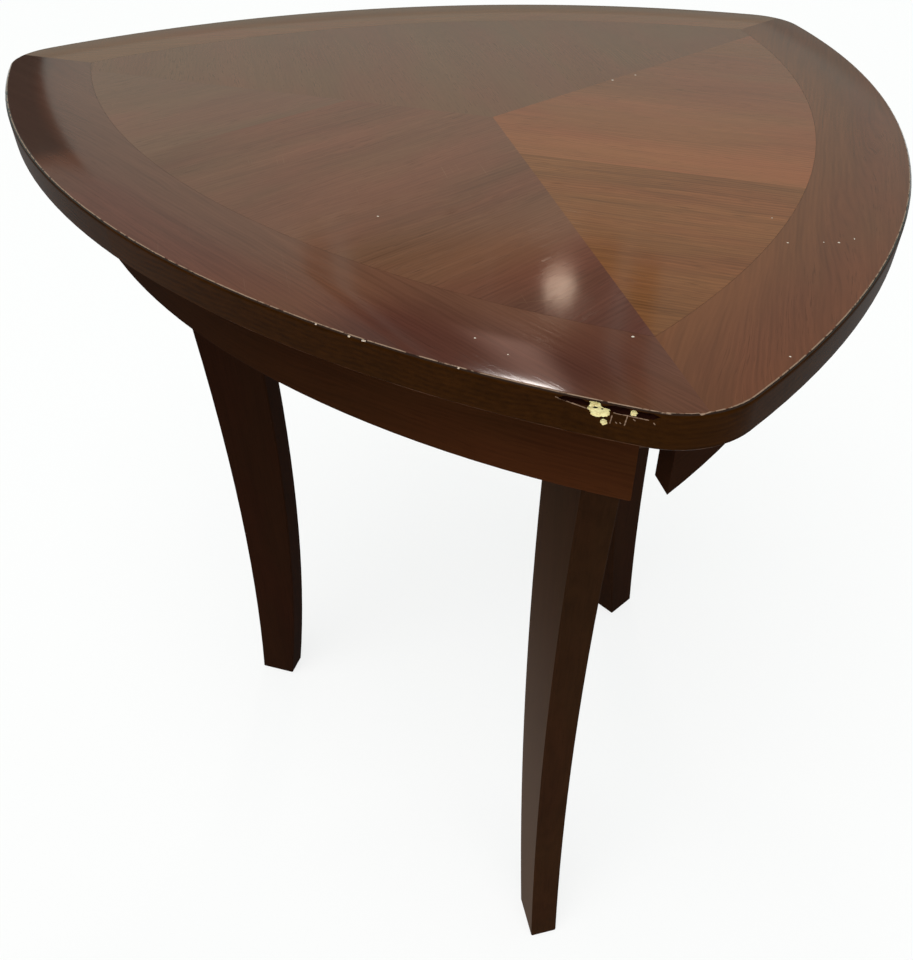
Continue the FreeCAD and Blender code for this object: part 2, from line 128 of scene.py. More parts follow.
def partOf(tree, vector, axis):
    return addNode(tree, "SeparateXYZ", {"Vector": vector}).outputs[axis]


def spread(tree, value, fromLow, fromHigh, toLow=0.0, toHigh=1.0):
    # smooth step between two values, held at both ends
    ends = {"Value": value, "From Min": fromLow, "From Max": fromHigh, "To Min": toLow, "To Max": toHigh}
    return addNode(tree, "MapRange", ends, interpolation_type="SMOOTHSTEP").outputs["Result"]


def held(tree, value):
    # no less than 0 and no more than 1
    return sums(tree, "MINIMUM", 1.0, sums(tree, "MAXIMUM", 0.0, value))


def mixColours(tree, factor, first, second):
    # the node's colour sockets share their names with others, so they go by number
    node = addNode(tree, "Mix", {"Factor": factor, 6: first, 7: second}, data_type="RGBA")
    return node.outputs[2]


def noiseValue(tree, vector, stretch, detail=2.0, roughness=0.55, distortion=0.0):
    scaled = vectorSums(tree, "MULTIPLY", vector, stretch)
    node = addNode(tree, "TexNoise", {"Vector": scaled, "Scale": 1.0, "Detail": detail,
                                      "Roughness": roughness, "Distortion": distortion})
    return node.outputs[0]


def centred(tree, value, weight):
    return sums(tree, "MULTIPLY", sums(tree, "SUBTRACT", value, 0.5), weight)


def relief(tree, height, strength, distance, **under):
    bump = addNode(tree, "Bump", dict(under, Height=height, Strength=strength, Distance=distance))
    return bump.outputs[0]


def startGroup(name, inputs, outputs):
    tree = bpy.data.node_groups.new(name, "ShaderNodeTree")
    for label, kind, value in inputs:
        socket = tree.interface.new_socket(name=label, in_out="INPUT", socket_type="NodeSocket" + kind)
        if value is not None:
            socket.default_value = value
    for label, kind in outputs:
        tree.interface.new_socket(name=label, in_out="OUTPUT", socket_type="NodeSocket" + kind)
    return tree, tree.nodes.new("NodeGroupInput").outputs, tree.nodes.new("NodeGroupOutput").inputs


def useGroup(tree, group, **values):
    return addNode(tree, "Group", values, node_tree=group).outputs


# bent boards: length along the bend, height and depth stand in for a straight board's x, y and z
def makeBentBoard():
    tree, given, result = startGroup(
        "bentBoard",
        [("Place", "Vector", None), ("Offset", "Float", 0.0), ("Radius", "Float", 0.5)],
        [("Plank", "Vector")])
    parts = addNode(tree, "SeparateXYZ", {"Vector": given["Place"]}).outputs
    outward = sums(tree, "ADD", parts["X"], given["Offset"])
    turn = sums(tree, "ARCTAN2", parts["Y"], outward)
    along = sums(tree, "MULTIPLY", turn, given["Radius"])
    reach = sums(tree, "SQRT", sums(tree, "ADD", sums(tree, "MULTIPLY", outward, outward),
                                    sums(tree, "MULTIPLY", parts["Y"], parts["Y"])))
    plank = addNode(tree, "CombineXYZ", {"X": along, "Y": parts["Z"], "Z": reach})
    feed(tree, result["Plank"], plank.outputs[0])
    return tree


# upright boards: the grain climbs with height
def makeUprightBoard():
    tree, given, result = startGroup("uprightBoard", [("Place", "Vector", None)], [("Plank", "Vector")])
    parts = addNode(tree, "SeparateXYZ", {"Vector": given["Place"]}).outputs
    plank = addNode(tree, "CombineXYZ", {"X": parts["Z"], "Y": parts["X"], "Z": parts["Y"]})
    feed(tree, result["Plank"], plank.outputs[0])
    return tree


# grain that runs along Plank's x: broad figure, fine growth lines, fibre streaks, open pores and a redder
# blush, each with its fineness along the board, across it and through it
grainLook = {
    "broad": (2.6, 13.0, 13.0), "ripple": (26.0, 70.0, 70.0), "streak": (8.0, 230.0, 230.0),
    "fibre": (30.0, 760.0, 760.0), "dash": (75.0, 1900.0, 1900.0), "blush": (9.0, 24.0, 24.0),
    "growth": {"Scale": 130.0, "Distortion": 2.5, "Detail": 3.0, "Detail Scale": 0.5},
    "wander": 30 * mm, "waver": 2.2 * mm,
}


def makeWoodGrain():
    tree, given, result = startGroup(
        "woodGrain",
        [("Plank", "Vector", None), ("Figure", "Float", 0.5), ("Lines", "Float", 0.3),
         ("Streaks", "Float", 0.5), ("Pores", "Float", 0.5)],
        [("Tone", "Float"), ("Blush", "Float"), ("Pores", "Float"), ("Height", "Float")])
    broad = noiseValue(tree, given["Plank"], grainLook["broad"], distortion=0.4)
    ripple = noiseValue(tree, given["Plank"], grainLook["ripple"])
    lean = sums(tree, "ADD", centred(tree, broad, grainLook["wander"]),
                centred(tree, ripple, grainLook["waver"]))
    waved = vectorSums(tree, "ADD", given["Plank"], addNode(tree, "CombineXYZ", {"Y": lean}).outputs[0])
    wave = dict(grainLook["growth"], Vector=waved)
    growth = addNode(tree, "TexWave", wave, bands_direction="Y").outputs[1]
    streak = noiseValue(tree, waved, grainLook["streak"], detail=3.0, roughness=0.6)
    fibre = noiseValue(tree, waved, grainLook["fibre"])
    dashes = noiseValue(tree, waved, grainLook["dash"], detail=1.0)
    clusters = spread(tree, streak, 0.36, 0.66)
    pores = sums(tree, "MULTIPLY", spread(tree, dashes, 0.56, 0.7), clusters)
    pores = sums(tree, "MULTIPLY", pores, given["Pores"])
    tone = 0.5
    for layer, weight in ((broad, "Figure"), (growth, "Lines"), (streak, "Streaks"), (fibre, "Streaks")):
        tone = sums(tree, "MULTIPLY_ADD", sums(tree, "SUBTRACT", layer, 0.5), given[weight], tone)
    blush = spread(tree, noiseValue(tree, given["Plank"], grainLook["blush"]), 0.38, 0.66)
    feed(tree, result["Tone"], held(tree, tone))
    feed(tree, result["Blush"], blush)
    feed(tree, result["Pores"], pores)
    feed(tree, result["Height"], sums(tree, "SUBTRACT", sums(tree, "MULTIPLY", fibre, 0.25), pores))
    return tree


def brokenUp(tree, given, rarest, softness, **texture):
    # patches that cover more of the surface as Amount grows
    texture.update(Vector=given["Place"], Scale=given["Breaks"])
    spots = addNode(tree, "TexNoise", texture).outputs[0]
    limit = sums(tree, "SUBTRACT", rarest, sums(tree, "MULTIPLY", given["Amount"], 0.5))
    return spread(tree, spots, limit, sums(tree, "ADD", limit, softness))


# wear where faces meet: the rounded normal departs from the face's own
def makeEdgeWear():
    tree, given, result = startGroup(
        "edgeWear",
        [("Place", "Vector", None), ("Reach", "Float", 0.001), ("Breaks", "Float", 90.0),
         ("Amount", "Float", 0.5)],
        [("Mask", "Float")])
    rounded = addNode(tree, "Bevel", {"Radius": given["Reach"]}, samples=6).outputs[0]
    face = addNode(tree, "NewGeometry").outputs["True Normal"]
    bend = sums(tree, "SUBTRACT", 1.0, vectorSums(tree, "DOT_PRODUCT", rounded, face))
    edge = spread(tree, bend, 0.02, 0.22)
    worn = brokenUp(tree, given, 0.78, 0.12, Detail=4.0)
    feed(tree, result["Mask"], sums(tree, "MULTIPLY", edge, worn))
    return tree


# the top's rounded edge: a rubbed broken line where it starts, and painted shade below that, full once the
# round leans more than about 25 degrees
def makeRimWearAndShade():
    tree, given, result = startGroup(
        "rimWearAndShade",
        [("Place", "Vector", None), ("Breaks", "Float", 90.0), ("Amount", "Float", 0.5)],
        [("Line", "Float"), ("Shade", "Float")])
    lift = partOf(tree, addNode(tree, "NewGeometry").outputs["Normal"], "Z")
    rim = sums(tree, "MULTIPLY", spread(tree, lift, 0.88, 0.93), spread(tree, lift, 0.99, 0.97))
    worn = brokenUp(tree, given, 0.8, 0.1, Detail=5.0, Roughness=0.65)
    feed(tree, result["Line"], sums(tree, "MULTIPLY", rim, worn))
    feed(tree, result["Shade"], spread(tree, lift, 0.985, 0.9))
    return tree


# hazy patches and fine short scratches that use leaves on lacquered wood
def makeUseMarks():
    tree, given, result = startGroup(
        "useMarks", [("Place", "Vector", None)], [("Scratches", "Float"), ("Haze", "Float")])
    scratches = []
    for turn, seed in ((0.5, 3.0), (2.1, 9.0)):
        turned = addNode(tree, "Mapping", {"Vector": given["Place"], "Rotation": (0.0, 0.0, turn),
                                           "Location": (seed, seed, 0.0)}).outputs[0]
        line = spread(tree, noiseValue(tree, turned, (28.0, 1500.0, 30.0), detail=1.0), 0.7, 0.8)
        patch = spread(tree, noiseValue(tree, turned, (22.0, 22.0, 22.0), detail=1.0), 0.55, 0.7)
        scratches.append(sums(tree, "MULTIPLY", line, patch))
    feed(tree, result["Scratches"], sums(tree, "MAXIMUM", *scratches))
    feed(tree, result["Haze"], noiseValue(tree, given["Place"], (9.0, 9.0, 9.0), detail=3.0))
    return tree


# dried paint specks on the top: place in millimetres and size across
paintSpecks = {
    "spots": ((225, -24, 1.1), (229, -142, 1.3), (188, -188, 1.1), (205, -187, 0.8), (279, -109, 1.0),
              (241, -6, 1.3), (77, -146, 1.2), (205, -6, 0.9), (16, 100, 1.8), (19, 120, 1.5),
              (236, -11, 0.8), (244, 3, 0.9)),
    "colour": screenColour(226, 214, 198),
}


def makePaintSpecks():
    tree, given, result = startGroup("paintSpecks", [("Place", "Vector", None)], [("Mask", "Float")])
    flat = vectorSums(tree, "MULTIPLY", given["Place"], (1.0, 1.0, 0.0))
    wobble = noiseValue(tree, flat, (1400.0, 1400.0, 0.0), detail=1.0)
    mask = 0.0
    for across, along, size in paintSpecks["spots"]:
        away = vectorSums(tree, "DISTANCE", flat, (across * mm, along * mm, 0.0))
        away = sums(tree, "ADD", away, centred(tree, wobble, 0.6 * mm))
        mask = sums(tree, "MAXIMUM", mask, spread(tree, away, size * 0.5 * mm, size * 0.3 * mm))
    feed(tree, result["Mask"], mask)
    return tree


# thin cracks round the knocked corner: degrees from the side's middle and millimetres below the top
lacquerCracks = {
    "strokes": (((25.2, 1.7), (26.6, 4.0)), ((27.4, 4.6), (27.35, 7.9)), ((27.97, 3.2), (27.9, 7.6)),
                ((27.45, 3.2), (28.75, 3.5)), ((27.56, 7.0), (27.6, 7.4)), ((27.72, 6.9), (27.75, 7.2)),
                ((28.2, 4.4), (28.26, 4.8)), ((28.95, 4.4), (29.0, 4.9))),
    "width": 0.34 * mm, "colour": screenColour(138, 110, 92),
}


def makeLacquerCracks():
    tree, given, result = startGroup("lacquerCracks", [("Plank", "Vector", None)], [("Mask", "Float")])
    ragged = noiseValue(tree, given["Plank"], (900.0, 900.0, 0.0))
    point = vectorSums(tree, "MULTIPLY", given["Plank"], (1.0, 1.0, 0.0))
    width = lacquerCracks["width"]
    mask = 0.0
    for stroke in lacquerCracks["strokes"]:
        first, last = (Vector((math.radians(turn) * plan["sideRadius"], plan["topHeight"] - drop * mm, 0.0))
                       for turn, drop in stroke)
        run = last - first
        offset = vectorSums(tree, "SUBTRACT", point, first)
        share = held(tree, vectorSums(tree, "DOT_PRODUCT", offset, run / run.length_squared))
        shares = addNode(tree, "CombineXYZ", {"X": share, "Y": share, "Z": share}).outputs[0]
        nearest = vectorSums(tree, "ADD", vectorSums(tree, "MULTIPLY", run, shares), first)
        away = vectorSums(tree, "DISTANCE", point, nearest)
        away = sums(tree, "ADD", away, centred(tree, ragged, 0.5 * mm))
        mask = sums(tree, "MAXIMUM", mask, spread(tree, away, width * 0.75, width * 0.35))
    feed(tree, result["Mask"], mask)
    return tree


bentBoard = makeBentBoard()
uprightBoard = makeUprightBoard()
woodGrain = makeWoodGrain()
edgeWear = makeEdgeWear()
rimWearAndShade = makeRimWearAndShade()
useMarks = makeUseMarks()
speckMask = makePaintSpecks()
crackMask = makeLacquerCracks()
print("node groups:", len(bpy.data.node_groups))


def startMaterial(name):
    material = bpy.data.materials.new(name)
    material.use_nodes = True
    tree = material.node_tree
    tree.nodes.clear()
    shader = addNode(tree, "BsdfPrincipled")
    addNode(tree, "OutputMaterial", {"Surface": shader.outputs[0]})
    return material, tree, shader


def placeOn(tree, angle, shift=noShift):
    # the point on the surface, turned so that x points along the given angle
    place = addNode(tree, "TexCoord").outputs["Object"]
    rotation = (0.0, 0.0, -math.radians(angle))
    turned = addNode(tree, "Mapping", {"Vector": place, "Rotation": rotation}).outputs[0]
    return place, addNode(tree, "Mapping", {"Vector": turned, "Location": shift}).outputs[0]


def flatPlank(angle, shift=noShift):
    return lambda tree: placeOn(tree, angle, shift)


def bentPlank(angle, offset, radius, shift):
    def make(tree):
        place, turned = placeOn(tree, angle)
        plank = useGroup(tree, bentBoard, Place=turned, Offset=offset, Radius=radius)["Plank"]
        return place, addNode(tree, "Mapping", {"Vector": plank, "Location": shift}).outputs[0]
    return make


def sidePlank(angle, shift=noShift):
    # bends with a side of the top, so that z is the reach from that side's arc centre
    return bentPlank(angle, plan["arcCentre"], plan["sideRadius"], shift)


def uprightPlank(angle, shift):
    def make(tree):
        place, turned = placeOn(tree, angle, shift)
        return place, useGroup(tree, uprightBoard, Place=turned)["Plank"]
    return make


def toneRamp(tree, tone, colours):
    node = addNode(tree, "ValToRGB", {"Fac": tone})
    stops = node.color_ramp.elements
    stops.new(0.5)
    for stop, position, colour in zip(stops, (0.1, 0.5, 0.9), colours):
        stop.position = position
        stop.color = colour
    return node.outputs[0]


def toneShades(stain, depth):
    dark = 1 - depth
    light = 1 + depth * 0.8
    return scaleColour(stain, dark, dark, dark), stain, scaleColour(stain, light, light, light)


woodTints = {"blush": (1.05, 0.93, 0.97), "pores": (0.4, 0.35, 0.32), "poreShare": 0.7}


def layWood(tree, plank, look):
    # stain, figure, blush and pores as one colour, and the grain's own outputs
    shades = toneShades(look["stain"], look["contrast"])
    grain = useGroup(tree, woodGrain, Plank=plank, Figure=look["figure"], Lines=look["lines"],
                     Streaks=look["streaks"], Pores=look["pores"])
    colour = toneRamp(tree, grain["Tone"], shades)
    redder = toneRamp(tree, grain["Tone"], [scaleColour(shade, *woodTints["blush"]) for shade in shades])
    colour = mixColours(tree, sums(tree, "MULTIPLY", grain["Blush"], look["blush"]), colour, redder)
    deep = scaleColour(look["stain"], *woodTints["pores"])
    poreMask = sums(tree, "MULTIPLY", grain["Pores"], woodTints["poreShare"])
    return mixColours(tree, poreMask, colour, deep), grain


def polishAndReflectionFace(tree, place, polishAndReflection):
    # how far a face that looks this way is polished and takes a painted reflection, the more so the lower
    # down
    normal = addNode(tree, "NewGeometry").outputs["Normal"]
    toward = vectorSums(tree, "DOT_PRODUCT", normal, pointing(polishAndReflection["facing"], 0.0))
    lower = spread(tree, partOf(tree, place, "Z"), polishAndReflection["high"], polishAndReflection["low"])
    return sums(tree, "MULTIPLY", spread(tree, toward, 0.75, 0.93), lower)


def drift(axis, start, end, first=(1.0, 1.0, 1.0), last=(1.0, 1.0, 1.0)):
    # a slow change of stain along the board or across it, between two places in millimetres; along the rails
    # it is painted light
    return {"axis": axis, "shift": 0.0, "from": start * mm, "to": end * mm, "first": first, "last": last}


def shiftDrifts(drifts, shift):
    # drifts count from the table's axis or a side's middle, the plank from where its grain was shifted to
    return [dict(change, shift=shift["XYZ".index(change["axis"])]) for change in drifts]


def driftColour(tree, plank, change, colour):
    place = partOf(tree, plank, change["axis"])
    share = spread(tree, place, change["shift"] + change["from"], change["shift"] + change["to"])
    tint = mixColours(tree, share, change["first"] + (1.0,), change["last"] + (1.0,))
    return vectorSums(tree, "MULTIPLY", colour, tint)


def finishWood(name, look, plankOf, addLayers=None):
    material, tree, shader = startMaterial(name)
    place, plank = plankOf(tree)
    colour, grain = layWood(tree, plank, look)
    for change in look.get("drifts", ()):
        colour = driftColour(tree, plank, change, colour)
    coat = look["lacquer"]
    polishAndReflection = look.get("polishAndReflection")
    if polishAndReflection:
        # the mask adds coat and mixes in a painted reflection
        mask = polishAndReflectionFace(tree, place, polishAndReflection)
        colour = mixColours(tree, sums(tree, "MULTIPLY", mask, polishAndReflection["share"]), colour, polishAndReflection["paintedReflection"])
        coat = spread(tree, mask, 0.0, 1.0, look["lacquer"], polishAndReflection["weight"])
    marks = useGroup(tree, useMarks, Place=place)
    rough = spread(tree, marks["Haze"], 0.3, 0.7, look["gloss"] * 0.85, look["gloss"] * 1.2)
    rough = sums(tree, "ADD", rough, sums(tree, "MULTIPLY", grain["Pores"], look["gloss"] * 0.4))
    scuffs = sums(tree, "MULTIPLY", marks["Scratches"], look["marks"])
    colour = mixColours(tree, scuffs, colour, look["bare"])
    normal = relief(tree, grain["Height"], look["relief"], 0.15 * mm)
    if addLayers:
        layered = dict(look, tone=grain["Tone"])
        colour, rough, normal = addLayers(tree, place, layered, colour, rough, normal)
    feedAll(tree, shader, {
        "Base Color": colour, "Roughness": rough, "Normal": normal, "Specular IOR Level": look["shine"],
        "Coat Weight": coat, "Coat Roughness": look["gloss"], "Coat IOR": look.get("coatIor", 1.5)})
    return material


def wear(tree, mask, colour, rough, bare, rougher=0.3):
    colour = mixColours(tree, mask, colour, bare)
    return colour, sums(tree, "ADD", rough, sums(tree, "MULTIPLY", mask, rougher))


def setMaterial(thing, material):
    for slot in thing.material_slots:
        slot.material = material


# top veneers: the grain of a field leaf points at its side, a border's runs along it
fieldVeneer = {
    "leaves": {
        "right_wide": {"stain": screenColour(133, 85, 57), "lines": 0.2, "pores": 1.0,
                       "drifts": [drift("Y", -65, 105, (1.2, 1.15, 1.0), (0.9, 0.93, 0.95))]},
        "right_narrow": {"stain": screenColour(127, 81, 48), "figure": 0.9, "lines": 0.2, "streaks": 0.75,
                         "pores": 1.0, "contrast": 0.4,
                         "drifts": [drift("Y", -190, -90, first=(0.86, 0.85, 0.85))]},
        "front_wide": {"stain": screenColour(116, 78, 57), "figure": 1.0, "contrast": 0.36,
                       "drifts": [drift("X", 110, 190, last=(0.88, 0.94, 0.97)),
                                  drift("Y", 115, 215, (1.03, 1.0, 0.98), (0.68, 0.58, 0.74))]},
        "front_narrow": {"stain": screenColour(117, 82, 61)},
        "left_wide": {"stain": screenColour(116, 80, 57), "contrast": 0.18},
        "left_narrow": {"stain": screenColour(116, 79, 55), "contrast": 0.18},
    },
    "figure": 0.7, "lines": 0.1, "streaks": 0.5, "blush": 0.9, "pores": 0.8, "contrast": 0.3,
    "gloss": 0.085, "shine": 0.3, "lacquer": 0.0, "relief": 0.06, "marks": 0.1,
    "bare": screenColour(196, 160, 120),
}
borderVeneer = {
    "stains": {"front": screenColour(100, 64, 50), "right": screenColour(106, 65, 42),
               "left": screenColour(125, 85, 58)},
    "drifts": {"front": [drift("X", -270, -140, first=(0.92, 0.9, 0.86)),
                         drift("X", 40, 116, last=(1.12, 1.08, 0.94)),
                         drift("X", 118, 160, last=(0.62, 0.56, 0.68)),
                         drift("X", 230, 262, last=(1.4, 1.54, 1.26))]},
    "blend": {"front": {"stain": screenColour(112, 75, 57), "share": 0.72, "reach": 38 * mm,
                        "drifts": [drift("X", 218, 248, last=(0.8, 0.7, 0.72))]},
              "right": {"stain": screenColour(119, 72, 44), "share": 0.8, "reach": 34 * mm}},
    # outer: a painted reflection of a dark thing, darker towards the rim along one stretch of the front
    "outer": {"front": {"stain": screenColour(68, 50, 43), "share": 0.9, "reach": 30 * mm, "full": 14 * mm,
                        "from": -112 * mm, "to": -84 * mm}},
    "figure": 0.6, "lines": 0.1, "streaks": 0.6, "blush": 0.9, "pores": 0.6, "contrast": 0.28,
    "gloss": 0.085, "shine": 0.3, "lacquer": 0.0, "relief": 0.06, "marks": 0.12,
    "bare": screenColour(150, 122, 102),
    # the rim's stain is painted shade on the round, and also the seam's dark line
    "rim": {"breaks": 190.0, "amount": 0.8, "stain": screenColour(40, 22, 13)},
    "roll": {"width": 30 * mm, "bend": 240 * mm}, "width": 51 * mm, "seam": 0.55 * mm, "seamShare": 0.15,
}


def speckTop(tree, place, look, colour, rough, normal):
    mask = useGroup(tree, speckMask, Place=place)["Mask"]
    colour, rough = wear(tree, mask, colour, rough, paintSpecks["colour"])
    return colour, rough, normal


def rollEdge(angle):
    # the border blends into the field, has a painted dark reflection in one corner, and falls away towards
    # its rubbed rim, whose round has painted shade
    def addLayers(tree, place, look, colour, rough, normal):
        plank = sidePlank(angle)(tree)[1]
        reach = partOf(tree, plank, "Z")
        rim = plan["sideRadius"]
        inner = rim - look["width"]
        blend = look["blend"]
        if blend:
            share = spread(tree, reach, inner + blend["reach"], inner, 0.0, blend["share"])
            grain = toneRamp(tree, look["tone"], toneShades(blend["stain"], look["contrast"]))
            for change in blend.get("drifts", ()):
                grain = driftColour(tree, plank, change, grain)
            colour = mixColours(tree, share, colour, grain)
        # painted reflection of a dark thing in the rolled edge: darker near the rim along one stretch of the
        # front
        outer = look["outer"]
        if outer:
            along = partOf(tree, plank, "X")
            share = spread(tree, along, outer["to"], outer["from"], 0.0, outer["share"])
            close = spread(tree, reach, rim - outer["reach"], rim - outer["full"])
            grain = toneRamp(tree, look["tone"], toneShades(outer["stain"], look["contrast"]))
            colour = mixColours(tree, sums(tree, "MULTIPLY", share, close), colour, grain)
        edge = look["rim"]
        seam = spread(tree, reach, inner + look["seam"], inner + look["seam"] * 0.5, 0.0, look["seamShare"])
        colour = mixColours(tree, seam, colour, edge["stain"])
        roll = look["roll"]
        past = sums(tree, "MAXIMUM", 0.0, sums(tree, "SUBTRACT", reach, rim - roll["width"]))
        fall = sums(tree, "MULTIPLY", sums(tree, "MULTIPLY", past, past), -0.5 / roll["bend"])
        normal = relief(tree, fall, 1.0, 1.0, Normal=normal)
        colour, rough, normal = speckTop(tree, place, look, colour, rough, normal)
        worn = useGroup(tree, rimWearAndShade, Place=place, Breaks=edge["breaks"], Amount=edge["amount"])
        # painted shade over the rim's round
        colour = mixColours(tree, worn["Shade"], colour, edge["stain"])
        colour, rough = wear(tree, worn["Line"], colour, rough, look["bare"])
        return colour, rough, normal
    return addLayers


# each board's shift takes its grain from another place, so no two match
for order, (side, angle) in enumerate(plan["sides"].items()):
    for step, width in enumerate(("narrow", "wide")):
        leaf = side + "_" + width
        shift = (0.9 * order + 0.37 * step, 0.6 * step + 0.23 * order, 0.0)
        look = dict(fieldVeneer, **fieldVeneer["leaves"][leaf])
        look["drifts"] = shiftDrifts(look.get("drifts", ()), shift)
        material = finishWood("fieldVeneer_" + leaf, look, flatPlank(angle, shift), speckTop)
        setMaterial(nodes["field_leaf_" + leaf], material)
for order, (side, angle) in enumerate(plan["sides"].items()):
    shift = (1.3 * order, 0.4, 0.2)
    look = dict(borderVeneer, stain=borderVeneer["stains"][side], blend=borderVeneer["blend"].get(side),
                outer=borderVeneer["outer"].get(side),
                drifts=shiftDrifts(borderVeneer["drifts"].get(side, ()), shift))
    material = finishWood("borderVeneer_" + side, look, flatPlank(angle + 90, shift), rollEdge(angle))
    setMaterial(nodes["border_veneer_" + side], material)
print("veneers done")

# solid wood: the lipping bends round a corner, rails bend along a side, legs climb
edgeLipping = {
    "stain": screenColour(47, 24, 4), "figure": 0.8, "lines": 0.2, "streaks": 0.8, "blush": 0.4,
    "pores": 0.5, "contrast": 0.4, "gloss": 0.22, "shine": 0.0, "lacquer": 0.18, "coatIor": 1.2,
    "relief": 0.08, "marks": 0.0, "bare": screenColour(206, 172, 120), "bend": 290 * mm,
    # lip: a pale broken line along the lower edge, partly rubbed wear and partly painted highlight
    "lip": {"colour": screenColour(96, 66, 50), "width": 0.9 * mm},
}
railWood = {
    # the drift makes each rail darker towards one end and lighter towards the other: painted light falling
    # from one side
    "drifts": [drift("X", 20, 260, (0.65, 0.65, 0.65), (1.43, 1.43, 1.43))],
    "stain": screenColour(53, 27, 11), "figure": 1.0, "lines": 0.1, "streaks": 0.5, "blush": 0.8,
    "pores": 0.5, "contrast": 0.4, "gloss": 0.3, "shine": 0.0, "lacquer": 0.02, "relief": 0.08, "marks": 0.0,
    "bare": screenColour(150, 116, 88), "rubbed": {"Reach": 0.9 * mm, "Breaks": 130.0, "Amount": 0.25},
}
plainWood = dict(railWood, drifts=())
legWood = dict(
    plainWood, lacquer=0.03, gloss=0.34,
    stains={"front_right": screenColour(46, 26, 12), "back": screenColour(40, 20, 8),
            "front_left": screenColour(36, 17, 7)},
    # the front right leg's face towards 240 degrees gets more coat and a painted reflection, a lighter
    # warmer colour, the more so lower down
    polishedAndReflecting={"front_right": {"facing": 240.0, "weight": 0.14, "low": 0.05, "high": 0.62,
                              "paintedReflection": screenColour(90, 63, 44), "share": 0.6}})


def lipLayers(tree, place, look, colour, rough, normal):
    # a pale broken line along the lower edge, partly rubbed wear and partly painted highlight, and the
    # cracks round the knocks on the front
    lip = look["lip"]
    height = partOf(tree, place, "Z")
    low = spread(tree, height, plan["underside"] + lip["width"], plan["underside"] + lip["width"] * 0.7)
    breaks = spread(tree, noiseValue(tree, place, (45.0, 45.0, 0.0), detail=4.0), 0.42, 0.6)
    colour = mixColours(tree, sums(tree, "MULTIPLY", low, breaks), colour, lip["colour"])
    plank = sidePlank(plan["sides"]["front"])(tree)[1]
    cracks = useGroup(tree, crackMask, Plank=plank)["Mask"]
    colour, rough = wear(tree, cracks, colour, rough, lacquerCracks["colour"])
    return colour, rough, normal


def rubEdges(tree, place, look, colour, rough, normal):
    mask = useGroup(tree, edgeWear, Place=place, **look["rubbed"])["Mask"]
    colour, rough = wear(tree, mask, colour, rough, look["bare"])
    return colour, rough, normal


for order, (corner, angle) in enumerate(plan["corners"].items()):
    plankOf = bentPlank(angle, 0.0, edgeLipping["bend"], (0.8 * order, 0.0, 0.0))
    material = finishWood("edgeLipping_" + corner, edgeLipping, plankOf, lipLayers)
    setMaterial(nodes["edge_band_" + corner], material)
    look = dict(legWood, stain=legWood["stains"][corner], polishAndReflection=legWood["polishedAndReflecting"].get(corner))
    plankOf = uprightPlank(angle, (0.7 * order, 0.3, 0.0))
    material = finishWood("legWood_" + corner, look, plankOf, rubEdges)
    setMaterial(nodes["leg_" + corner], material)
for order, (side, angle) in enumerate(plan["sides"].items()):
    shift = (0.9 * order, 0.5, 0.0)
    look = dict(railWood, drifts=shiftDrifts(railWood["drifts"], shift))
    material = finishWood("railWood_" + side, look, sidePlank(angle, shift), rubEdges)
    setMaterial(nodes["rail_" + side], material)
print("solid wood done")

# what only shows from below: core, backing, blocks, fasteners and glides
backingVeneer = dict(plainWood, stain=screenColour(98, 70, 48), gloss=0.55, lacquer=0.0, shine=0.2,
                     pores=0.9, angle=20.0)
glueBlock = dict(plainWood, stain=screenColour(172, 138, 96), gloss=0.7, lacquer=0.0, shine=0.2,
                 contrast=0.25, bare=screenColour(206, 178, 138),
                 rubbed={"Reach": 0.8 * mm, "Breaks": 160.0, "Amount": 0.2})
cornerBlock = dict(glueBlock, stain=screenColour(82, 55, 36), bare=screenColour(120, 90, 64))
material = finishWood("backingVeneer", backingVeneer, flatPlank(backingVeneer["angle"]))
setMaterial(nodes["backing_veneer"], material)
for order, (corner, angle) in enumerate(plan["corners"].items()):
    plankOf = flatPlank(angle + 90, (0.5 * order, 0.1, 0.0))
    material = finishWood("cornerBlock_" + corner, cornerBlock, plankOf, rubEdges)
    setMaterial(nodes["corner_block_" + corner], material)
for order, (side, angle) in enumerate(plan["sides"].items()):
    plankOf = flatPlank(angle + 90, (0.4 * order, 0.3, 0.1))
    material = finishWood("glueBlock_" + side, glueBlock, plankOf, rubEdges)
    setMaterial(nodes["glue_block_" + side], material)

coreBoard = {"fibre": screenColour(158, 126, 88), "dark": screenColour(112, 84, 56), "grain": 900.0}


def finishCore():
    material, tree, shader = startMaterial("coreBoard")
    place = addNode(tree, "TexCoord").outputs["Object"]
    flakes = addNode(tree, "TexVoronoi", {"Vector": place, "Scale": coreBoard["grain"]}).outputs["Distance"]
    clouds = noiseValue(tree, place, (60.0, 60.0, 240.0), detail=4.0)
    tone = sums(tree, "ADD", sums(tree, "MULTIPLY", flakes, 0.6), sums(tree, "MULTIPLY", clouds, 0.5))
    feedAll(tree, shader, {
        "Base Color": mixColours(tree, tone, coreBoard["fibre"], coreBoard["dark"]),
        "Roughness": spread(tree, clouds, 0.3, 0.7, 0.75, 0.95),
        "Normal": relief(tree, flakes, 0.3, 0.1 * mm)})
    return material


setMaterial(nodes["top_core"], finishCore())

metals = {
    "steel": {"bright": screenColour(186, 188, 190), "dull": screenColour(120, 121, 124),
              "rough": (0.24, 0.5), "nodes": ("leg_bolts", "leg_washers", "top_screws", "rail_screws")},
    "brass": {"bright": screenColour(206, 170, 96), "dull": screenColour(140, 106, 54),
              "rough": (0.25, 0.5), "nodes": ("threaded_inserts",)},
}


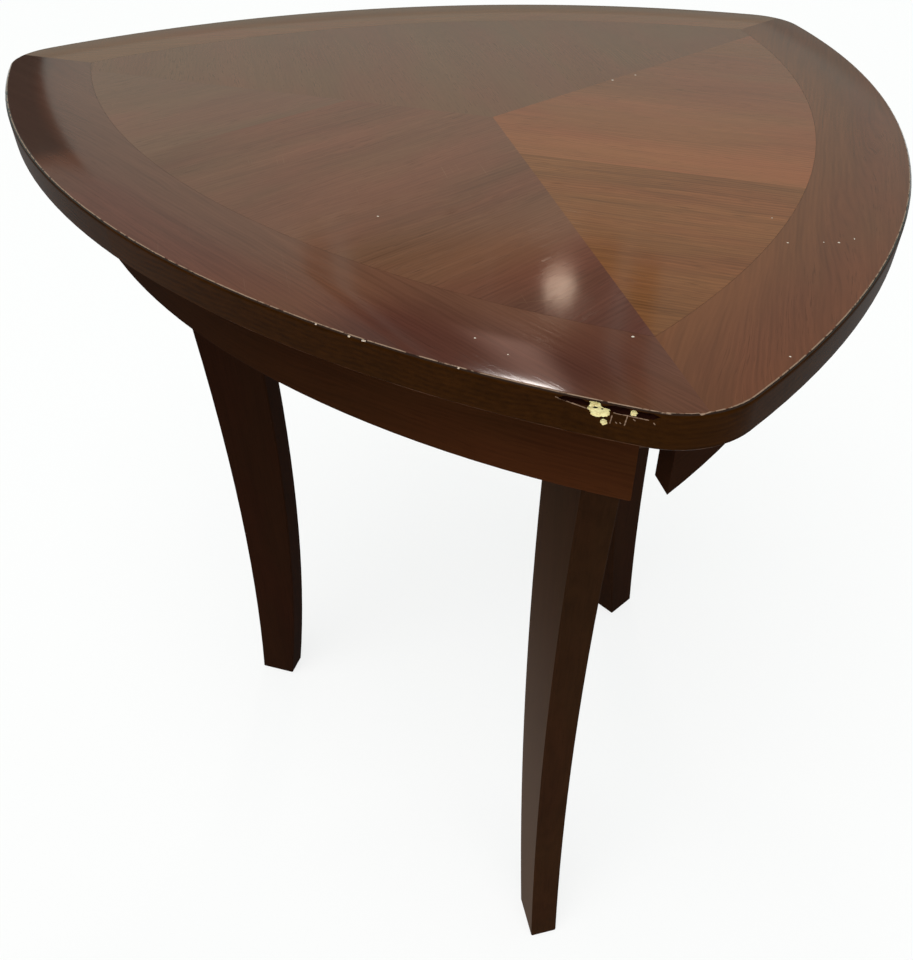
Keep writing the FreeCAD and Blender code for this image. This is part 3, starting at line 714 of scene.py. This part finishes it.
def finishMetal(name, look):
    material, tree, shader = startMaterial(name)
    place = addNode(tree, "TexCoord").outputs["Object"]
    stains = noiseValue(tree, place, (180.0, 180.0, 180.0), detail=5.0, roughness=0.65)
    turned = noiseValue(tree, place, (2400.0, 2400.0, 500.0), detail=1.0)
    feedAll(tree, shader, {
        "Base Color": mixColours(tree, spread(tree, stains, 0.4, 0.7), look["bright"], look["dull"]),
        "Roughness": spread(tree, stains, 0.35, 0.7, *look["rough"]),
        "Normal": relief(tree, turned, 0.15, 0.05 * mm), "Metallic": 1.0})
    return material


for name, look in metals.items():
    material = finishMetal(name, look)
    for node in look["nodes"]:
        setMaterial(nodes[node], material)

glidePlastic = {"dark": screenColour(44, 38, 34), "scuffed": screenColour(92, 84, 76)}


def finishGlide():
    material, tree, shader = startMaterial("glidePlastic")
    place = addNode(tree, "TexCoord").outputs["Object"]
    scuffs = noiseValue(tree, place, (500.0, 900.0, 500.0), detail=4.0, roughness=0.65)
    speckle = noiseValue(tree, place, (3000.0, 3000.0, 3000.0), detail=1.0)
    mask = spread(tree, scuffs, 0.52, 0.7)
    feedAll(tree, shader, {
        "Base Color": mixColours(tree, mask, glidePlastic["dark"], glidePlastic["scuffed"]),
        "Roughness": spread(tree, scuffs, 0.3, 0.7, 0.4, 0.65),
        "Normal": relief(tree, speckle, 0.2, 0.05 * mm)})
    return material


glideMaterial = finishGlide()
for corner in plan["corners"]:
    setMaterial(nodes["foot_glide_" + corner], glideMaterial)
print("underside done")


def copyNode(node, name):
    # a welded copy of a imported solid, free to be reshaped
    mesh = nodes[node].data.copy()
    mesh.name = name
    if "custom_normal" in mesh.attributes:
        mesh.attributes.remove(mesh.attributes["custom_normal"])
    work = bmesh.new()
    work.from_mesh(mesh)
    bmesh.ops.remove_doubles(work, verts=work.verts, dist=0.001 * mm)
    work.to_mesh(mesh)
    work.free()
    piece = bpy.data.objects.new(name, mesh)
    scene.collection.objects.link(piece)
    return piece


def bakePiece(piece):
    # the modifiers' result becomes the piece's own mesh
    scene.view_layers[0].update()
    graph = bpy.context.evaluated_depsgraph_get()
    shaped = piece.evaluated_get(graph)
    mesh = bpy.data.meshes.new_from_object(shaped, preserve_all_data_layers=True, depsgraph=graph)
    piece.modifiers.clear()
    piece.data = mesh
    mesh.name = piece.name


def settleNormals(piece, sharpAngle):
    # flat faces keep flat shading right up to the rounded edges beside them
    piece.data.shade_smooth()
    piece.data.set_sharp_from_angle(angle=math.radians(sharpAngle))
    weighted = piece.modifiers.new("weighted", "WEIGHTED_NORMAL")
    weighted.keep_sharp = True
    weighted.weight = 90
    bakePiece(piece)


# knocks on the front edge: degrees from the side's middle, millimetres below the top, and their size
edgeKnocks = {
    "gouged": ({"at": 25.95, "drop": 1.6, "width": 13.0, "height": 2.2, "depth": 1.4},
               {"at": 27.6, "drop": 1.7, "width": 10.5, "height": 2.6, "depth": 1.6},
               {"at": 28.6, "drop": 1.8, "width": 9.5, "height": 2.3, "depth": 1.4}),
    "bare": ({"at": 26.9, "drop": 3.9, "width": 8.2, "height": 4.4, "depth": 1.5},
             {"at": 26.72, "drop": 1.6, "width": 4.6, "height": 2.6, "depth": 1.9},
             {"at": 28.17, "drop": 1.9, "width": 3.2, "height": 2.2, "depth": 1.3},
             {"at": 27.12, "drop": 8.0, "width": 2.5, "height": 2.7, "depth": 0.6}),
    "pits": ({"at": 26.72, "drop": 3.3, "width": 1.9, "height": 1.3, "depth": 2.4},
             {"at": 26.98, "drop": 3.5, "width": 1.2, "height": 0.8, "depth": 2.1}),
    "nicks": ({"at": 16.9, "drop": 0.4, "width": 2.0, "height": 0.9, "depth": 0.5},
              {"at": 16.2, "drop": 0.5, "width": 1.3, "height": 0.8, "depth": 0.4},
              {"at": 14.5, "drop": 0.3, "width": 1.0, "height": 0.6, "depth": 0.4},
              {"at": 21.2, "drop": 0.3, "width": 0.9, "height": 0.6, "depth": 0.4}),
    "lumps": ((1.6, 0.3), (4.2, 0.13), (9.5, 0.08)),  # fineness and height, coarse to fine
    "pale": screenColour(236, 224, 172), "tan": screenColour(186, 154, 104),
    # dark is painted shade inside gouges and pits
    "chalky": screenColour(212, 196, 184), "dark": screenColour(30, 12, 8),
    "grainAngle": 115, "sharpAngle": 32,
}


def finishBare(name, light, shade, rough):
    material, tree, shader = startMaterial(name)
    place, plank = placeOn(tree, plan["sides"]["front"] + edgeKnocks["grainAngle"])
    fibres = noiseValue(tree, plank, (260.0, 1500.0, 1500.0), detail=4.0, roughness=0.6)
    lumps = noiseValue(tree, place, (700.0, 700.0, 700.0), detail=3.0)
    tone = sums(tree, "ADD", sums(tree, "MULTIPLY", spread(tree, fibres, 0.45, 0.75), 0.6),
                sums(tree, "MULTIPLY", spread(tree, lumps, 0.52, 0.72), 0.5))
    feedAll(tree, shader, {
        "Base Color": mixColours(tree, tone, light, shade),
        "Roughness": spread(tree, lumps, 0.3, 0.7, rough, rough + 0.15),
        "Normal": relief(tree, fibres, 0.6, 0.2 * mm), "Specular IOR Level": 0.0})
    return material


def knockCutter(knock, seed, material):
    # a lumpy chip-shaped blob, set across the edge
    bend = plan["edgeRound"]
    drop = knock["drop"] * mm
    setBack = 0.0
    if drop < bend:
        setBack = bend - math.sqrt(bend ** 2 - (bend - drop) ** 2)
    turn = math.radians(plan["sides"]["front"] + knock["at"])
    outward = Vector((math.cos(turn), math.sin(turn), 0.0))
    along = Vector((math.sin(turn), -math.cos(turn), 0.0))
    reach = plan["sideRadius"] - setBack
    spot = Vector((0.0, plan["arcCentre"], plan["topHeight"] - drop)) + outward * reach
    seedPoint = Vector((seed * 3.7, seed * 1.3, 0.0))
    work = bmesh.new()
    bmesh.ops.create_icosphere(work, subdivisions=4, radius=1.0)
    for vert in work.verts:
        lump = 1
        for fineness, height in edgeKnocks["lumps"]:
            lump += height * noise.noise(vert.co * fineness + seedPoint)
        point = vert.co * lump
        across = along * (point.x * knock["width"] * 0.5 * mm)
        inward = outward * (point.y * knock["depth"] * mm)
        upward = Vector((0.0, 0.0, point.z * knock["height"] * 0.5 * mm))
        vert.co = spot + across + inward + upward
    mesh = bpy.data.meshes.new("knockCutter")
    work.to_mesh(mesh)
    work.free()
    mesh.materials.append(material)
    cutter = bpy.data.objects.new("knockCutter", mesh)
    scene.collection.objects.link(cutter)
    return cutter


def knockOut(piece, cutters):
    for cutter in cutters:
        bite = piece.modifiers.new("bite", "BOOLEAN")
        bite.operation = "DIFFERENCE"
        bite.solver = "EXACT"
        bite.material_mode = "TRANSFER"
        bite.object = cutter
    bakePiece(piece)
    work = bmesh.new()
    work.from_mesh(piece.data)
    bmesh.ops.dissolve_degenerate(work, edges=work.edges, dist=0.0002 * mm)
    bmesh.ops.triangulate(work, faces=[face for face in work.faces if len(face.verts) > 3])
    work.to_mesh(piece.data)
    work.free()
    settleNormals(piece, edgeKnocks["sharpAngle"])


bareWood = finishBare("bareWood", edgeKnocks["pale"], edgeKnocks["tan"], 0.65)
nickedWood = finishBare("nickedWood", edgeKnocks["chalky"], edgeKnocks["tan"], 0.65)
darkest = scaleColour(edgeKnocks["dark"], 0.4, 0.4, 0.4)
paintedShadeGouge = finishBare("paintedShadeGouge", edgeKnocks["dark"], darkest, 0.5)
# a gouge in the lipping is painted nearly black, the shade in its gap painted on, and pale where it breaks
# the veneer's thin edge
knockedPieces = (("edge_band_front_right", "knockedLipping", "edge_lipping", paintedShadeGouge),
                 ("border_veneer_front", "knockedBorder", "border_veneer", bareWood))
for node, name, slotName, inGouge in knockedPieces:
    cutters = []
    for kind, inside, seed in (("gouged", inGouge, 11), ("bare", bareWood, 31),
                               ("pits", paintedShadeGouge, 51), ("nicks", nickedWood, 71)):
        for count, knock in enumerate(edgeKnocks[kind]):
            cutters.append(knockCutter(knock, seed + count, inside))
    piece = copyNode(node, name)
    knockOut(piece, cutters)
    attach(piece, "root")
    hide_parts(node)
    for cutter in cutters:
        bpy.data.objects.remove(cutter)
    print("knocked", piece.name, len(piece.data.polygons), "faces")
print("edge knocks done")

# rails and legs with their long arrises eased, and wider round a foot's sole; angles in degrees
easedArris = {
    "rail": 0.6 * mm, "leg": 0.45 * mm, "steps": 3, "foot": 2.4 * mm, "footHeight": 4 * mm, "footSteps": 4,
    "shortest": 4 * mm, "bluntest": 30, "sharpest": 100, "flat": 0.4, "sharpAngle": 28,
}


def easeEdges(work, edges, width, steps):
    bmesh.ops.bevel(work, geom=edges, offset=width, offset_type="OFFSET", segments=steps, profile=0.5,
                    affect="EDGES", clamp_overlap=True)


def easeArrises(piece, width):
    work = bmesh.new()
    work.from_mesh(piece.data)
    flat = math.radians(easedArris["flat"])
    bmesh.ops.dissolve_limit(work, angle_limit=flat, verts=work.verts, edges=work.edges)
    sole = []
    for edge in work.edges:
        low = all(vert.co.z < easedArris["footHeight"] for vert in edge.verts)
        if low and edge.calc_length() > easedArris["shortest"]:
            if math.degrees(edge.calc_face_angle(0.0)) > easedArris["bluntest"]:
                sole.append(edge)
    easeEdges(work, sole, easedArris["foot"], easedArris["footSteps"])
    chosen = []
    for edge in work.edges:
        if len(edge.link_faces) == 2 and edge.calc_length() > easedArris["shortest"]:
            turn = math.degrees(edge.calc_face_angle())
            if easedArris["bluntest"] < turn < easedArris["sharpest"] and edge.is_convex:
                chosen.append(edge)
    easeEdges(work, chosen, width, easedArris["steps"])
    work.to_mesh(piece.data)
    work.free()
    return len(chosen)


for kind, names in (("rail", plan["sides"]), ("leg", plan["corners"])):
    for name in names:
        piece = copyNode(kind + "_" + name, "eased_" + kind + "_" + name)
        count = easeArrises(piece, easedArris[kind])
        settleNormals(piece, easedArris["sharpAngle"])
        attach(piece, "root")
        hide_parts(kind + "_" + name)
        print("eased", piece.name, count, "edges")

# the floor: part paper white where it is seen, a plain pale floor where it only bounces light
floorLook = {"size": 30.0, "colour": screenColour(250, 250, 249), "rough": 0.9, "backdrop": 0.8}
half = floorLook["size"] / 2
floorMesh = bpy.data.meshes.new("floor")
outline = [(-half, -half, 0), (half, -half, 0), (half, half, 0), (-half, half, 0)]
floorMesh.from_pydata(outline, [], [(0, 1, 2, 3)])
floor = bpy.data.objects.new("floor", floorMesh)
scene.collection.objects.link(floor)
floorMaterial, tree, shader = startMaterial("paleFloor")
feedAll(tree, shader, {"Base Color": floorLook["colour"], "Roughness": floorLook["rough"],
                       "Specular IOR Level": 0.0})
ray = addNode(tree, "LightPath").outputs
seen = ray["Is Camera Ray"]
for kind in ("Is Glossy Ray", "Is Transmission Ray"):
    seen = sums(tree, "MAXIMUM", seen, ray[kind])
paper = addNode(tree, "Emission", {"Color": white, "Strength": 1.0})
blend = addNode(tree, "MixShader", {0: sums(tree, "MULTIPLY", seen, floorLook["backdrop"]),
                                    1: shader.outputs[0], 2: paper.outputs[0]})
feed(tree, tree.nodes["Material Output"].inputs["Surface"], blend.outputs[0])
floorMesh.materials.append(floorMaterial)

# the photograph's frame in pixels, and where its lens stood
photo = {"width": 913, "height": 960, "focal": 904.7, "axisX": 493.5, "axisY": 514.3}
view = {"spot": (0.4085, -0.3995, 0.7936), "heading": 134.51, "pitch": -42.01, "roll": 1.53, "sensor": 36.0}
cameraData = bpy.data.cameras.new("camera")
cameraData.sensor_width = view["sensor"]
cameraData.lens = photo["focal"] / photo["height"] * view["sensor"]
cameraData.shift_x = (photo["width"] / 2 - photo["axisX"]) / photo["height"]
cameraData.shift_y = (photo["axisY"] - photo["height"] / 2) / photo["height"]
cameraData.clip_start = 0.01
ahead = pointing(view["heading"], view["pitch"])
level = ahead.cross(Vector((0, 0, 1))).normalized()
upright = level.cross(ahead)
roll = math.radians(view["roll"])
right = level * math.cos(roll) + upright * math.sin(roll)
up = upright * math.cos(roll) - level * math.sin(roll)
camera = bpy.data.objects.new("camera", cameraData)
camera.matrix_world = Matrix.Translation(view["spot"]) @ Matrix((right, up, -ahead)).transposed().to_4x4()
scene.collection.objects.link(camera)
scene.camera = camera
scene.view_settings.view_transform = "Standard"

# soft light: an even cool sky with dark flags and one warm glow in it, a broad warm key, and two small lamps
# that show as spots of gloss; flags and glow go by degrees round the axis and above the floor
studio = {
    "sky": (0.73, 1.0, 0.955, 1.0), "skyLevel": 0.34,
    "flags": (
        {"from": 123.3, "to": 126.0, "above": 25.6, "below": 90.0, "soft": 0.8, "share": 0.94},
        {"from": 126.2, "to": 135.7, "above": 24.5, "below": 90.0, "soft": 0.8, "share": 0.94},
        {"from": 134.6, "to": 145.2, "above": 24.4, "below": 90.0, "soft": 1.1, "share": 0.94},
        {"from": 145.5, "to": 148.0, "above": 24.4, "below": 90.0, "soft": 0.7, "share": 0.94},
        {"from": 160.8, "to": 168.0, "above": 6.0, "below": 21.5, "soft": 0.9, "share": 0.97},
        {"from": 95.0, "to": 172.0, "above": -20.0, "below": 14.0, "soft": 4.0, "share": 0.4},
    ),
    "glow": {"turn": (130.3, 133.0, 134.0, 139.5), "rise": (29.5, 34.0, 43.0, 50.0), "level": 2.0,
             "colour": (1.0, 0.64, 0.52, 1.0)},
    "key": {"heading": 300.0, "height": 60.0, "angle": 60.0, "strength": 2.5, "colour": (1.0, 0.965, 0.95)},
    "lamps": (
        {"shinesAt": (183 * mm, -134 * mm), "lean": 0.0, "leanTo": 0.0, "away": 2.2, "size": (0.09, 0.09),
         "power": 0.12, "colour": (1.0, 0.74, 0.56)},
        {"shinesAt": (222 * mm, -198 * mm), "lean": 7.2, "leanTo": 293.8, "away": 2.2, "size": (0.25, 0.12),
         "power": 3.2, "colour": (1.0, 0.93, 0.88)},
    ),
}
world = bpy.data.worlds.new("studio")
scene.world = world
world.use_nodes = True
tree = world.node_tree
tree.nodes.clear()
gaze = addNode(tree, "SeparateXYZ", {"Vector": addNode(tree, "TexCoord").outputs["Generated"]}).outputs
turn = sums(tree, "DEGREES", sums(tree, "ARCTAN2", gaze["Y"], gaze["X"]))
rise = sums(tree, "DEGREES", sums(tree, "ARCSINE", gaze["Z"]))


def skyPatch(across, upward):
    # how far inside a soft-edged patch of sky a ray points
    inside = 1.0
    for value, (start, full, fading, end) in ((turn, across), (rise, upward)):
        inside = sums(tree, "MULTIPLY", inside, spread(tree, value, start, full))
        inside = sums(tree, "MULTIPLY", inside, spread(tree, value, end, fading))
    return inside


shaded = 0.0
for flag in studio["flags"]:
    soft = flag["soft"]
    inside = skyPatch((flag["from"], flag["from"] + soft, flag["to"] - soft, flag["to"]),
                      (flag["above"], flag["above"] + soft, flag["below"] - soft, flag["below"]))
    shaded = sums(tree, "MAXIMUM", shaded, sums(tree, "MULTIPLY", inside, flag["share"]))
skyLevel = sums(tree, "MULTIPLY", sums(tree, "SUBTRACT", 1.0, shaded), studio["skyLevel"])
sky = addNode(tree, "Background", {"Color": studio["sky"], "Strength": skyLevel})
glow = studio["glow"]
glowLevel = sums(tree, "MULTIPLY", skyPatch(glow["turn"], glow["rise"]), glow["level"])
bright = addNode(tree, "Background", {"Color": glow["colour"], "Strength": glowLevel})
both = addNode(tree, "AddShader", {0: sky.outputs[0], 1: bright.outputs[0]})
# looked at straight, the backdrop is plain white
paper = addNode(tree, "Background", {"Color": white, "Strength": 1.0})
blend = addNode(tree, "MixShader", {0: addNode(tree, "LightPath").outputs["Is Camera Ray"],
                                    1: both.outputs[0], 2: paper.outputs[0]})
addNode(tree, "OutputWorld", {"Surface": blend.outputs[0]})


def addLamp(name, kind, spot, facing, **settings):
    data = bpy.data.lights.new(name, kind)
    for setting, value in settings.items():
        setattr(data, setting, value)
    lamp = bpy.data.objects.new(name, data)
    lamp.location = spot
    lamp.rotation_euler = Vector(facing).to_track_quat("-Z", "Y").to_euler()
    scene.collection.objects.link(lamp)
    return lamp


def mirrorFrom(lamp):
    # a spot on the top, and where a facet there that leans this way mirrors the photograph's lens to
    spot = Vector(lamp["shinesAt"] + (plan["topHeight"],))
    facet = pointing(lamp["leanTo"], 90 - lamp["lean"])
    seenFrom = (Vector(view["spot"]) - spot).normalized()
    return spot, facet * (2 * facet.dot(seenFrom)) - seenFrom


key = studio["key"]
keyFrom = pointing(key["heading"], key["height"])
softKey = addLamp("softKey", "SUN", keyFrom * 3, -keyFrom, energy=key["strength"],
                  angle=math.radians(key["angle"]), color=key["colour"])
softKey.visible_glossy = False  # it lights without showing in the polish
for order, lamp in enumerate(studio["lamps"]):
    spot, toward = mirrorFrom(lamp)
    lampSpot = spot + toward * lamp["away"]
    addLamp("glossLamp" + str(order), "AREA", lampSpot, spot - lampSpot, energy=lamp["power"],
            shape="ELLIPSE", size=lamp["size"][0], size_y=lamp["size"][1], color=lamp["colour"])
print("studio done")
